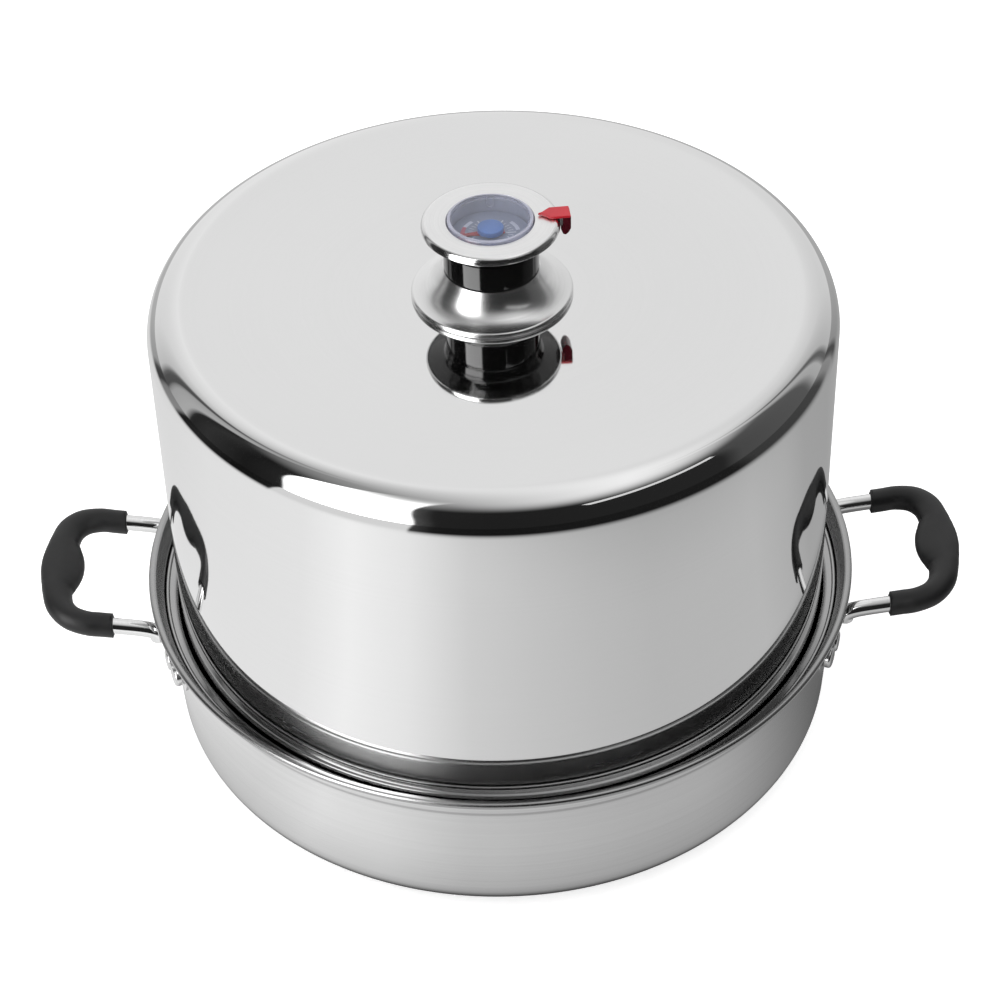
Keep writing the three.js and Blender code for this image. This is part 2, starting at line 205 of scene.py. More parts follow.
# the value's stretch from one range onto another
def ramp(tree, value, low, high, fromLow=0.0, fromHigh=1.0):
    return addNode(tree, "ShaderNodeMapRange", {"Value": value, "From Min": fromLow, "From Max": fromHigh,
                                                "To Min": low, "To Max": high}).outputs["Result"]


def mathNode(tree, operation, first, second=0.0):
    return addNode(tree, "ShaderNodeMath", {0: first, 1: second}, operation=operation).outputs[0]


def times(tree, first, second):
    return mathNode(tree, "MULTIPLY", first, second)


def combined(tree, x=0.0, y=0.0, z=0.0):
    return addNode(tree, "ShaderNodeCombineXYZ", {"X": x, "Y": y, "Z": z}).outputs["Vector"]


def noise(tree, place, scale, detail, rough=0.5):
    return addNode(tree, "ShaderNodeTexNoise", {"Vector": place, "Scale": scale, "Detail": detail,
                                                "Roughness": rough}).outputs["Fac"]


# base colour between two tones, by a share from 0 to 1
def twoTones(tree, shader, share, first, second):
    tones = {"Factor": share, 6: (*first, 1), 7: (*second, 1)}
    tint = addNode(tree, "ShaderNodeMix", tones, data_type="RGBA").outputs[2]
    tree.links.new(tint, shader.inputs["Base Color"])


def bumped(tree, shader, height, depth, distance, under=None):
    values = {"Height": height, "Strength": depth, "Distance": distance}
    if under is not None:
        values["Normal"] = under
    bump = addNode(tree, "ShaderNodeBump", values).outputs["Normal"]
    tree.links.new(bump, shader.inputs["Normal"])
    return bump


# place on the piece, its three parts, and the distance from the upright axis
def pieceCoordinates(tree):
    place = addNode(tree, "ShaderNodeTexCoord").outputs["Object"]
    x, y, z = addNode(tree, "ShaderNodeSeparateXYZ", {"Vector": place}).outputs
    radius = addNode(tree, "ShaderNodeVectorMath", {0: combined(tree, x, y)}, operation="LENGTH")
    return place, x, y, z, radius.outputs["Value"]


# tint, roughness, turned lines per metre, their depth, waviness, and how far they change the tone
steelFinishes = {
    "lid": (0.80, (0.028, 0.055), 700, 0.0, 0.012, 0.006),
    "pan": (0.68, (0.11, 0.16), 700, 0.002, 0.015, 0.025),
    # the pan's inside and rim: a real satin roughness, and a darker tint that is painted shade
    "panInsideShaded": (0.42, (0.22, 0.28), 500, 0.002, 0.0, 0.03),
    # the rack's dark tint is painted shade, for the groove between lid and pan
    "rack": (0.42, (0.11, 0.17), 700, 0.003, 0.0, 0.04),
    "rod": (0.82, (0.04, 0.09), 1500, 0.004, 0.01, 0.03),
    "knob": (0.80, (0.20, 0.27), 2200, 0.004, 0.0, 0.04),
    "cap": (0.82, (0.11, 0.16), 2200, 0.004, 0.0, 0.04),
    "capTop": (0.84, (0.26, 0.36), 3000, 0.02, 0.0, 0.06),
    "bracket": (0.68, (0.16, 0.28), 900, 0.01, 0.02, 0.04),
    "fitting": (0.60, (0.22, 0.36), 2500, 0.03, 0.0, 0.06),
}


def steelFinish(kind):
    tone, rough, lines, depth, waviness, streak = steelFinishes[kind]
    material, tree, shader = newFinish(kind + "Steel", Metallic=1.0)
    place, x, y, z, radius = pieceCoordinates(tree)
    # radius, height and a slow drift across the piece, so that the noise on them runs in turned lines
    turned = combined(tree, times(tree, radius, lines), times(tree, x, 2.0), times(tree, z, lines))
    grain = noise(tree, turned, 1.0, 2.0, 0.6)
    smudge = noise(tree, place, 14.0, 5.0, 0.65)
    wave = noise(tree, place, 9.0, 1.0)
    both = times(tree, grain, smudge)
    tree.links.new(ramp(tree, both, *rough, 0.12, 0.42), shader.inputs["Roughness"])
    light, dark = ([tone * (1 + change)] * 3 for change in (streak, -streak))
    twoTones(tree, shader, ramp(tree, both, 0.0, 1.0, 0.12, 0.40), light, dark)
    wide = bumped(tree, shader, wave, waviness, 4 * mm)
    bumped(tree, shader, grain, depth, 0.2 * mm, wide)
    return material


# Moulded rubber and plastic: a fine grain in the surface and a little wear in the gloss
def mouldedFinish(name, colour, rough, grainScale, grainDepth, **values):
    material, tree, shader = newFinish(name, Base_Color=(*colour, 1), **values)
    place = addNode(tree, "ShaderNodeTexCoord").outputs["Object"]
    patch = noise(tree, place, 45.0, 4.0, 0.6)
    tree.links.new(ramp(tree, patch, *rough, 0.3, 0.7), shader.inputs["Roughness"])
    dark, light = ([min(1.0, part * change) for part in colour] for change in (0.85, 1.15))
    twoTones(tree, shader, ramp(tree, patch, 0.0, 1.0, 0.3, 0.7), dark, light)
    bumped(tree, shader, noise(tree, place, grainScale, 3.0), grainDepth, 0.2 * mm)
    return material


steel = {kind: steelFinish(kind) for kind in steelFinishes}
gripRubber = mouldedFinish("gripRubber", (0.0055, 0.0055, 0.006), (0.42, 0.55), 2600, 0.3)
collarPlastic = mouldedFinish("collarPlastic", (0.006, 0.006, 0.006), (0.04, 0.09), 900, 0.03,
                              Coat_Weight=0.4, Coat_Roughness=0.03)
sealRubber = mouldedFinish("sealRubber", (0.30, 0.31, 0.32), (0.5, 0.7), 1500, 0.3)
clipEnamel = mouldedFinish("clipEnamel", (0.58, 0.012, 0.028), (0.22, 0.34), 1200, 0.08, Coat_Weight=0.15)
# the hook's dark maroon is painted shade on the red enamel, for faces that turn away from the light
clipPaintedShade = mouldedFinish("clipPaintedShade", (0.075, 0.004, 0.010), (0.10, 0.18), 1200, 0.05, Coat_Weight=0.5,
                          Coat_Roughness=0.05)
needlePaint = mouldedFinish("needlePaint", (0.55, 0.05, 0.06), (0.4, 0.5), 2000, 0.05)
hubPlastic = mouldedFinish("hubPlastic", (0.10, 0.24, 0.62), (0.30, 0.42), 1500, 0.08)
bezelPlastic = mouldedFinish("bezelPlastic", (0.42, 0.44, 0.54), (0.30, 0.45), 1500, 0.05)
coilBronze = mouldedFinish("coilBronze", (0.50, 0.33, 0.15), (0.25, 0.4), 2500, 0.1, Metallic=1.0)
print("finishes made")


panShape = {"sheet": 1.0, "footInset": 10.7, "footRound": 19, "wallInset": 7.4, "stepHeight": 70.1,
            "rimBand": 3.2, "around": 256}


def buildPan():
    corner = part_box("pan")[1]
    rim = corner.x / mm
    top = corner.z / mm
    foot = rim - panShape["footInset"]
    wall = rim - panShape["wallInset"]
    sheet = panShape["sheet"]
    step = panShape["stepHeight"]
    outline = roundedSection([
        (0, 0),
        (foot, 0, panShape["footRound"]),
        (wall, step - 3.6, 6),
        (wall + 1.3, step - 0.5, 2),
        (wall + 2, step + 3.2, 5),
        (rim - 2.9, top - 2.7, 0.5),
        (rim - 2.4, top - 3.1, 0.3),
        (rim, top - 3.1, 1.45),
        (rim, top, 1.5),
        (rim - 3.3, top, 1.6),
        (wall + 0.9, step + 3, 4),
        (wall + 0.6, step + 0.1, 0.8),
        (wall - 0.9, step - 0.1, 0.9),
        (wall - sheet, step - 4, 5),
        (foot - sheet, sheet, panShape["footRound"] - sheet),
        (0, sheet),
    ], arcStep=5)
    pan = linkMesh("pan_shell", turnedMesh("pan_shell", outline, panShape["around"]))
    dress(pan, steel["pan"], "pan", "pan_steel", "pan")
    # only the outside is polished: the rim and everything inside it are satin, and toned darker as painted
    # shade
    secondFinish(pan, steel["panInsideShaded"], lambda face: facesInward(face) or face.normal.z > 0.3
                 or face.center.z > (top - panShape["rimBand"]) * mm)


buildPan()
print("pan made")


rackShape = {"sheet": 0.8, "wall": 151.9, "flange": 70.7, "plate": 50.0, "bead": 157.8, "around": 256}
rackHoles = {"Hole radius": 5.0 * mm, "Ring step": 33 * mm, "Plate height": 49.6 * mm, "Holes in ring": 6}


def newTree(name, sockets):
    tree = bpy.data.node_groups.new(name, "GeometryNodeTree")
    tree.interface.new_socket("Geometry", in_out="INPUT", socket_type="NodeSocketGeometry")
    for label, value in sockets.items():
        kind = "NodeSocketInt" if isinstance(value, int) else "NodeSocketFloat"
        tree.interface.new_socket(label, in_out="INPUT", socket_type=kind)
    tree.interface.new_socket("Material", in_out="INPUT", socket_type="NodeSocketMaterial")
    tree.interface.new_socket("Geometry", in_out="OUTPUT", socket_type="NodeSocketGeometry")
    return tree, tree.nodes.new("NodeGroupInput"), tree.nodes.new("NodeGroupOutput")


# the end of every tree: what it made, as real geometry with the piece's finish
def closeTree(tree, given, result, geometry):
    real = addNode(tree, "GeometryNodeRealizeInstances", {"Geometry": geometry})
    coated = addNode(tree, "GeometryNodeSetMaterial", {"Geometry": real.outputs["Geometry"],
                                                       "Material": given.outputs["Material"]})
    tree.links.new(coated.outputs["Geometry"], result.inputs["Geometry"])
    return tree


def drillMesh(tree, given, deep):
    values = {"Vertices": 32, "Radius": given.outputs["Hole radius"], "Depth": deep}
    return addNode(tree, "GeometryNodeMeshCylinder", values).outputs["Mesh"]


# cuts the drills out of what the tree is given
def punched(tree, given, drills):
    solid = addNode(tree, "GeometryNodeRealizeInstances", {"Geometry": drills})
    cut = addNode(tree, "GeometryNodeMeshBoolean", operation="DIFFERENCE", solver="EXACT")
    tree.links.new(given.outputs["Geometry"], cut.inputs["Mesh 1"])
    tree.links.new(solid.outputs["Geometry"], cut.inputs["Mesh 2"])
    return cut.outputs["Mesh"]


# copies of a mesh on an upright cylinder, each facing outward at its own angle
def instancesRound(tree, spots, turn, radius, height, copied):
    x, y = (times(tree, mathNode(tree, which, turn), radius) for which in ("COSINE", "SINE"))
    place = combined(tree, x, y, height)
    moved = addNode(tree, "GeometryNodeSetPosition", {"Geometry": spots, "Position": place})
    values = {"Points": moved.outputs[0], "Instance": copied,
              "Rotation": combined(tree, 0.0, math.pi / 2, turn)}
    return addNode(tree, "GeometryNodeInstanceOnPoints", values).outputs["Instances"]


# gives the tree's result as a plain mesh on a new object
def grown(name, tree, base, values, material):
    maker = linkMesh(name + "_maker", base)
    modifier = maker.modifiers.new("tree", "NODES")
    modifier.node_group = tree
    for item in tree.interface.items_tree:
        if item.in_out == "INPUT" and item.name in values:
            modifier[item.identifier] = values[item.name]
        if item.in_out == "INPUT" and item.name == "Material":
            modifier[item.identifier] = material
    seen = maker.evaluated_get(bpy.context.evaluated_depsgraph_get())
    mesh = bpy.data.meshes.new_from_object(seen)
    mesh.name = name
    bpy.data.objects.remove(maker)
    return linkMesh(name, mesh)


# three rings of round holes and one in the middle, punched through the plate
def perforationTree(rings=3):
    tree, given, result = newTree("perforation", rackHoles)
    drills = addNode(tree, "GeometryNodeJoinGeometry")
    for ring in range(rings + 1):
        if ring:
            count = times(tree, given.outputs["Holes in ring"], float(ring))
            radius = times(tree, given.outputs["Ring step"], float(ring))
            turn = mathNode(tree, "DIVIDE", math.pi, count)
            circle = addNode(tree, "GeometryNodeMeshCircle", {"Vertices": count, "Radius": radius})
            spots = addNode(tree, "GeometryNodeTransform", {"Geometry": circle.outputs["Mesh"],
                                                            "Rotation": combined(tree, z=turn)})
            tree.links.new(spots.outputs["Geometry"], drills.inputs["Geometry"])
        else:
            middle = addNode(tree, "GeometryNodePoints", {"Count": 1})
            tree.links.new(middle.outputs[0], drills.inputs["Geometry"])
    raised = addNode(tree, "GeometryNodeTransform", {
        "Geometry": drills.outputs["Geometry"],
        "Translation": combined(tree, z=given.outputs["Plate height"])})
    values = {"Points": raised.outputs["Geometry"], "Instance": drillMesh(tree, given, 3 * mm)}
    copies = addNode(tree, "GeometryNodeInstanceOnPoints", values)
    return closeTree(tree, given, result, punched(tree, given, copies.outputs["Instances"]))


def buildRack():
    wall = rackShape["wall"]
    sheet = rackShape["sheet"]
    plate = rackShape["plate"]
    flange = rackShape["flange"]
    bead = rackShape["bead"]
    outline = roundedSection([
        (0, plate - sheet),
        (wall + sheet, plate - sheet, 1.9),
        (wall + sheet, flange - sheet, 1.5),
        (bead - 1.4, flange - sheet, 0.3),
        (bead - 1.3, flange - 0.4, 0.2),
        (bead, flange - 0.4, 0.6),
        (bead, flange + 1.2, 0.65),
        (bead - 1.5, flange + 1.2, 0.7),
        (bead - 1.7, flange, 0.3),
        (wall, flange, 2.3),
        (wall, plate, 1.1),
        (0, plate),
    ], arcStep=10, longest=9)
    blank = turnedMesh("rack_blank", outline, rackShape["around"])
    rack = grown("rack_plate", perforationTree(), blank, rackHoles, steel["rack"])
    smoothed(rack.data)
    # the rack's steel is toned dark as painted shade
    dress(rack, steel["rack"], "rack", "rack_steel", "rack")


buildRack()
print("rack made")


lidShape = {"sheet": 1.0, "shoulder": 15.2, "dish": 3.5, "hole": 5.6, "around": 320}
ventHoles = {"Hole radius": 3.0 * mm, "Wall radius": 150.7 * mm, "Height": 92 * mm,
             "First turn": math.radians(60), "Step": math.radians(60), "Vents": 2}


# round holes through an upright wall, at even steps round it
def ventTree():
    tree, given, result = newTree("vents", ventHoles)
    spots = addNode(tree, "GeometryNodePoints", {"Count": given.outputs["Vents"]})
    index = addNode(tree, "GeometryNodeInputIndex").outputs[0]
    further = times(tree, index, given.outputs["Step"])
    turn = mathNode(tree, "ADD", given.outputs["First turn"], further)
    drills = instancesRound(tree, spots.outputs[0], turn, given.outputs["Wall radius"],
                            given.outputs["Height"], drillMesh(tree, given, 6 * mm))
    return closeTree(tree, given, result, punched(tree, given, drills))


def buildLid():
    low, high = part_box("lid")
    radius = high.x / mm
    foot = low.z / mm
    top = high.z / mm
    shoulder = lidShape["shoulder"]
    sheet = lidShape["sheet"]
    dish = lidShape["dish"]
    slope = math.atan(4 * dish / (radius - shoulder))
    flat = radius - shoulder - shoulder * math.sin(slope)

    # the shoulder's arc runs a little past its top, into the dish
    def shoulderArc(size):
        steps = 40
        return [(radius - shoulder + size * math.cos(a), top - shoulder + size * math.sin(a))
                for a in ((math.pi / 2 + slope) * k / steps for k in range(steps + 1))]

    def dishLine(drop):
        steps = 60
        edge = top - shoulder * (1 - math.cos(slope))
        shares = [1 - k / steps for k in range(1, steps)]
        return [(flat * s, edge - dish * (1 - s ** 4) - drop) for s in shares
                if flat * s > lidShape["hole"] + 1]

    centre = top - dish
    outer = [(radius, foot + 0.4), *shoulderArc(shoulder), *dishLine(0), (lidShape["hole"], centre)]
    inner = [(lidShape["hole"], centre - sheet), *reversed(dishLine(sheet)),
             *reversed(shoulderArc(shoulder - sheet)), (radius - sheet, foot + 0.4),
             (radius - 0.6 * sheet, foot), (radius - 0.4 * sheet, foot)]
    outline = roundedSection([*outer, *inner], longest=4)
    blank = turnedMesh("lid_blank", outline, lidShape["around"])
    lid = grown("lid_shell", ventTree(), blank, ventHoles, steel["lid"])
    smoothed(lid.data)
    dress(lid, steel["lid"], "lid", "lid_steel", "lid")


buildLid()
print("lid made")


handleShape = {"legY": 36.5, "rod": 3.75, "reach": 208, "corner": 22, "legX": 159.6, "footZ": 64,
               "bendZ": 66, "bendRise": 3.6, "loopX": 179, "loopZ": 72.3, "loopLead": 10.5, "slope": 0.165,
               "sides": 28}
gripShape = {"thick": 5.75, "sides": 40, "steps": 7, "slabFrom": 6.6, "slabOver": 3.2, "square": 0.25,
             "thin": 0.22}
# the grip's ends close in: share of the section, and how far it lies inside the end
gripEnds = [(0.80, 0), (0.93, 0.35), (1, 1.3)]
# centre and half width of the grip's sections, from its middle to its end
gripStations = [(206.3, 0, 9.9), (206.5, 6, 9.5), (207, 12, 8.2), (207.1, 17.5, 6.9), (204.9, 26.8, 6.5),
                (199.6, 33.5, 6.2), (192, 36.4, 5.8), (185, 36.5, 5.7), (179.5, 36.5, 5.7)]


# the handle's loop climbs outward
def loopHeight(x):
    return handleShape["loopZ"] + handleShape["slope"] * (x - handleShape["loopX"])


# rings of points joined into a closed tube with flat ends
def loftedMesh(name, rings):
    sides = len(rings[0])
    points = [point for ring in rings for point in ring]
    faces = [(row * sides + k, row * sides + (k + 1) % sides, (row + 1) * sides + (k + 1) % sides,
              (row + 1) * sides + k) for row in range(len(rings) - 1) for k in range(sides)]
    faces.append(tuple(range(sides)))
    faces.append(tuple(range(len(points) - sides, len(points))))
    return smoothed(meshFrom(name, points, faces), sharpFrom=50)


def bezier(points, steps):
    a, b, c, d = (Vector(point) for point in points)
    return [(1 - t) ** 3 * a + 3 * t * (1 - t) ** 2 * b + 3 * t * t * (1 - t) * c + t ** 3 * d
            for t in (k / steps for k in range(1, steps + 1))]


def rodCentres():
    s = handleShape
    y, reach, corner = -s["legY"], s["reach"], s["corner"]
    foot = [Vector((s["legX"], y, s["footZ"])), Vector((s["legX"], y, s["bendZ"]))]
    lead = s["loopX"] - s["loopLead"]
    leg = bezier([foot[1], (s["legX"], y, s["bendZ"] + s["bendRise"]), (lead, y, loopHeight(lead)),
                  (s["loopX"], y, s["loopZ"])], 14)
    near = reach - corner
    elbow = [(near + corner * math.sin(a), y + corner * (1 - math.cos(a))) for a in
             (math.pi / 2 * k / 16 for k in range(17))]
    half = foot + leg + [Vector((x, across, loopHeight(x))) for x, across in elbow]
    return half + [Vector((p.x, -p.y, p.z)) for p in reversed(half)]


def tubeRings(centres, radius, sides):
    rings = []
    for i, centre in enumerate(centres):
        before = centres[max(i - 1, 0)]
        after = centres[min(i + 1, len(centres) - 1)]
        along = (after - before).normalized()
        aside = Vector((0, 0, 1)).cross(along)
        if aside.length < 0.2:  # nearly upright
            aside = Vector((0, -1 if centre.y >= 0 else 1, 0))
        aside.normalize()
        up = along.cross(aside)
        rings.append([(centre + radius * (math.cos(a) * aside + math.sin(a) * up)) * mm
                      for a in (full * k / sides for k in range(sides))])
    return rings


# smooth values between the stations, by Catmull-Rom
def between(rows, steps):
    dense = []
    for i in range(len(rows) - 1):
        p0, p1, p2, p3 = (Vector(rows[min(max(i + k, 0), len(rows) - 1)]) for k in (-1, 0, 1, 2))
        for k in range(steps):
            t = k / steps
            dense.append(0.5 * (2 * p1 + (p2 - p0) * t + (2 * p0 - 5 * p1 + 4 * p2 - p3) * t * t
                                + (3 * p1 - p0 - 3 * p2 + p3) * t ** 3))
    return dense + [Vector(rows[-1])]


def gripRings():
    mirrored = [(x, -y, width) for x, y, width in reversed(gripStations[1:])]
    rows = between(mirrored + gripStations, gripShape["steps"])
    sides = gripShape["sides"]
    rings = []
    last = len(rows) - 1
    order = [(0, *end) for end in gripEnds] + [(i, 1, 0) for i in range(1, last)]
    order += [(last, *end) for end in reversed(gripEnds)]
    for i, share, pull in order:
        x, y, width = rows[i]
        ahead = rows[min(i + 1, last)] - rows[max(i - 1, 0)]
        along = Vector((ahead.x, ahead.y, 0)).normalized()
        aside = Vector((along.y, -along.x, 0))
        centre = Vector((x, y, 0)) + along * (pull if i == 0 else -pull)
        bulge = max(0.0, (width - gripShape["slabFrom"]) / gripShape["slabOver"])
        ring = []
        for k in range(sides):
            angle = full * k / sides
            c, s = math.cos(angle), math.sin(angle)
            # the wide part is a rounded slab, thinner towards the fingers
            squared = math.copysign(abs(s) ** (1 - gripShape["square"] * bulge), s)
            thin = 1 - gripShape["thin"] * bulge * max(0.0, -c)
            spot = centre + share * c * width * aside
            spot.z = loopHeight(spot.x) + share * squared * gripShape["thick"] * thin
            ring.append(spot * mm)
        rings.append(ring)
    return rings


# a copy of the mesh on the other side
def turnedHalf(mesh, name):
    other = mesh.copy()
    other.name = name
    other.transform(Matrix.Rotation(math.pi, 4, "Z"))
    return other


def buildHandles():
    rodMesh = loftedMesh("right_rod", tubeRings(rodCentres(), handleShape["rod"], handleShape["sides"]))
    gripMesh = loftedMesh("right_grip_cover", gripRings())
    for side in ("right", "left"):
        rod = rodMesh if side == "right" else turnedHalf(rodMesh, "left_rod")
        grip = gripMesh if side == "right" else turnedHalf(gripMesh, "left_grip_cover")
        dress(linkMesh(side + "_rod", rod), steel["rod"], "pan", "rod_steel", side + "_handle_rod")
        dress(linkMesh(side + "_grip_cover", grip), gripRubber, "pan", "grip_black", side + "_grip")


buildHandles()
print("handles made")


bracketShape = {"inner": 158.3, "outer": 159.7, "from": 9.5, "to": 25, "low": 56.5, "high": 67, "round": 5}
rivetPlaces = {"Seat radius": 160.1 * mm, "Height": 62 * mm, "First turn": math.radians(17.8),
               "Step": math.radians(4.1), "Rivets": 8}


# a curved plate with rounded corners
def bracketMesh(name, side):
    s = bracketShape
    middle = (s["from"] + s["to"]) / 2
    halfTurn = (s["to"] - s["from"]) / 2
    reach = math.radians(halfTurn) * s["outer"]
    tall = (s["high"] - s["low"]) / 2
    columns = 24
    centre = (s["low"] + s["high"]) / 2
    xs = [-reach + 2 * reach * k / columns for k in range(columns + 1)]

    def tallAt(x):
        over = abs(x) - (reach - s["round"])
        return tall if over <= 0 else tall - s["round"] + math.sqrt(max(0.0, s["round"] ** 2 - over ** 2))

    points, faces = [], []
    for x in xs:
        turn = side * math.radians(middle + math.degrees(x / s["outer"]))
        h = tallAt(x)
        for radius in (s["inner"], s["outer"]):
            for z in (centre - h, centre + h):
                points.append((radius * mm * math.cos(turn), radius * mm * math.sin(turn), z * mm))
    for c in range(columns):
        a, b = 4 * c, 4 * (c + 1)
        for p, q in ((0, 1), (1, 3), (3, 2), (2, 0)):
            faces.append((a + p, a + q, b + q, b + p))
    faces.append((0, 1, 3, 2))
    faces.append((4 * columns, 4 * columns + 1, 4 * columns + 3, 4 * columns + 2))
    return smoothed(meshFrom(name, points, faces))


# pairs of rivets on either side of each handle
def rivetTree():
    tree, given, result = newTree("rivets", rivetPlaces)
    spots = addNode(tree, "GeometryNodePoints", {"Count": given.outputs["Rivets"]})
    index = addNode(tree, "GeometryNodeInputIndex").outputs[0]
    pair = mathNode(tree, "MODULO", index, 2.0)
    front = mathNode(tree, "MODULO", mathNode(tree, "FLOOR", mathNode(tree, "DIVIDE", index, 2.0)), 2.0)
    far = mathNode(tree, "FLOOR", mathNode(tree, "DIVIDE", index, 4.0))
    further = times(tree, pair, given.outputs["Step"])
    away = mathNode(tree, "ADD", given.outputs["First turn"], further)
    sign = mathNode(tree, "SUBTRACT", times(tree, front, 2.0), 1.0)
    half = times(tree, far, math.pi)
    turn = mathNode(tree, "ADD", times(tree, away, sign), half)
    heads = instancesRound(tree, spots.outputs[0], turn, given.outputs["Seat radius"],
                           given.outputs["Height"], given.outputs["Geometry"])
    return closeTree(tree, given, result, heads)


def buildBrackets():
    for name, side in (("right_rear", 1), ("right_front", -1), ("left_front", 1), ("left_rear", -1)):
        mesh = bracketMesh(name + "_plate", side)
        if name.startswith("left"):
            mesh = turnedHalf(mesh, name + "_plate")
        dress(linkMesh(name + "_plate", mesh), steel["bracket"], "pan", "bracket_steel", name + "_bracket")
    # one rivet, standing on its seat: head outside, shank and flat head inside
    shape = roundedSection([(0, -5.8), (4, -5.8, 0.5), (4, -4.8, 0.2), (2.2, -4.8), (2.2, 0), (4.9, 0, 0.3),
                            (4.9, 2.9, 1.1), (0, 2.9)], arcStep=15, longest=3)
    single = turnedMesh("rivet", shape, 32)
    rivets = grown("rivet_heads", rivetTree(), single, rivetPlaces, steel["bracket"])
    smoothed(rivets.data)
    names = [f"{side}_{end}_rivet_{i}" for side in ("right", "left") for end in ("front", "rear")
             for i in (1, 2)]
    dress(rivets, steel["bracket"], "pan", "rivet_steel", *names)


buildBrackets()
print("brackets and rivets made")


# heights on the knob count from just under its skirt
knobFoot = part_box("knob_skirt")[0].z - 0.3 * mm


def buildTurned(name, corners, material, body, slot, *nodes, around=160):
    outline = roundedSection(corners, knobFoot, longest=2.5)
    return dress(linkMesh(name, turnedMesh(name, outline, around)), material, body, slot, *nodes)


def buildKnob():
    buildTurned("bell_skirt", [
        (34.2, 0.05, 0.2), (35.3, 0.05, 0.7), (35.3, 2.5, 1.3),
        *curved((33.8, 2.8), (24.8, 4.9), (21.2, 14.3), 20), (10.5, 14.3), (10.5, 13.1),
        *curved((20.2, 13.1), (23.7, 4.2), (32.9, 1.8), 14), (34.2, 1.3, 0.6),
    ], steel["knob"], "lid", "knob_steel", "knob_skirt")
    buildTurned("black_collar", [
        (5.4, 0.3), (10, 0.3), (10, 14.5), (20.8, 14.5, 0.6), (20.8, 26.4, 0.3), (20.2, 26.9, 0.2),
        (20.2, 27.4, 0.2), (20.8, 27.9, 0.4), (21.4, 31.8, 3), (28.9, 34.4, 0.4), (29, 36.1), (18.7, 36.1),
        (18.7, 18), (5.4, 18),
    ], collarPlastic, "lid", "collar_black", "knob_collar")
    cap = buildTurned("steel_cap", [
        (18.9, 36.4, 0.2), (29.1, 36.4, 0.3), (29.2, 34.3, 0.15), (29.9, 34.3, 0.3), (29.9, 37.6, 2.2),
        (18.9, 37.6, 0.45),
    ], steel["cap"], "lid", "knob_steel", "knob_cap")
    secondFinish(cap, steel["capTop"], lambda face: face.normal.z > 0.985)


buildKnob()
print("knob made")


dialShape = {"height": 29.6, "radius": 17.4, "thick": 0.8, "zones": 12.2, "zoneHalf": 0.9,
             "liningFrom": 28.4, "lensRimFrom": 17.5}
dialTicks = {"Tick radius": 9.0 * mm, "Tick length": 2.2 * mm, "Tick width": 0.34 * mm, "Ticks": 30}


def glassFinish():
    material, tree, shader = newFinish("lensClear", Base_Color=(0.93, 0.95, 1.0, 1), Roughness=0.02, IOR=1.46,
                                       Transmission_Weight=1.0)
    place = addNode(tree, "ShaderNodeTexCoord").outputs["Object"]
    haze = noise(tree, place, 120.0, 3.0)
    tree.links.new(ramp(tree, haze, 0.01, 0.06, 0.3, 0.7), shader.inputs["Roughness"])
    bumped(tree, shader, haze, 0.02, 1 * mm)
    return material


# coloured zones printed round the dial, by the angle about its centre
def dialFinish():
    material, tree, shader = newFinish("dialPrint", Roughness=0.45)
    place, x, y, z, radius = pieceCoordinates(tree)
    angle = mathNode(tree, "ARCTAN2", y, x)
    zones = addNode(tree, "ShaderNodeValToRGB", {"Fac": ramp(tree, angle, 0.0, 1.0, -math.pi, math.pi)})
    zones.color_ramp.interpolation = "CONSTANT"
    plain, pale, red = (0.36, 0.39, 0.50), (0.80, 0.82, 0.90), (0.72, 0.16, 0.22)
    stops = [(0.0, red), (0.10, pale), (0.36, plain), (0.52, pale), (0.62, plain), (0.86, pale), (0.93, red)]
    zones.color_ramp.elements[0].color = (*stops[0][1], 1)
    zones.color_ramp.elements.remove(zones.color_ramp.elements[1])
    for position, colour in stops[1:]:
        zones.color_ramp.elements.new(position).color = (*colour, 1)
    inside = mathNode(tree, "COMPARE", radius, dialShape["zones"] * mm)
    inside.node.inputs[2].default_value = dialShape["zoneHalf"] * mm
    face = addNode(tree, "ShaderNodeMix", {"Factor": inside}, data_type="RGBA")
    face.inputs[6].default_value = (*plain, 1)
    tree.links.new(zones.outputs["Color"], face.inputs[7])
    tree.links.new(face.outputs[2], shader.inputs["Base Color"])
    tree.links.new(ramp(tree, noise(tree, place, 900.0, 3.0), 0.35, 0.55), shader.inputs["Roughness"])
    return material


# fine marks round the dial
def tickTree():
    tree, given, result = newTree("ticks", dialTicks)
    circle = addNode(tree, "GeometryNodeMeshCircle", {"Vertices": given.outputs["Ticks"],
                                                      "Radius": given.outputs["Tick radius"]})
    index = addNode(tree, "GeometryNodeInputIndex").outputs[0]
    step = mathNode(tree, "DIVIDE", full, given.outputs["Ticks"])
    facing = combined(tree, z=times(tree, index, step))
    size = combined(tree, given.outputs["Tick length"], given.outputs["Tick width"], 0.06 * mm)
    mark = addNode(tree, "GeometryNodeMeshCube", {"Size": size})
    longMark = mathNode(tree, "LESS_THAN", mathNode(tree, "MODULO", index, 5.0), 0.5)
    larger = mathNode(tree, "ADD", longMark, 1.0)
    copies = addNode(tree, "GeometryNodeInstanceOnPoints", {
        "Points": circle.outputs["Mesh"], "Instance": mark.outputs["Mesh"], "Rotation": facing,
        "Scale": combined(tree, larger, larger, 1.0)})
    lift = combined(tree, z=knobFoot + (dialShape["height"] + 0.03) * mm)
    raised = addNode(tree, "GeometryNodeTransform", {"Geometry": copies.outputs["Instances"],
                                                     "Translation": lift})
    return closeTree(tree, given, result, raised.outputs["Geometry"])


latchShape = {"wire": 0.28, "half": 1.5, "back": 16.9, "bend": 33.6, "top": 37}


# a U-shaped tongue moulded on the lens, hanging inside the cup at the back
def latchCentres():
    half, back = latchShape["half"], latchShape["back"]
    bend, top = (knobFoot / mm + latchShape[which] for which in ("bend", "top"))
    low = [Vector((half * math.sin(a), back, bend - half * math.cos(a)))
           for a in (math.pi / 2 * k / 6 for k in range(-6, 7))]
    return [Vector((-half, back, top)), *low, Vector((half, back, top))]


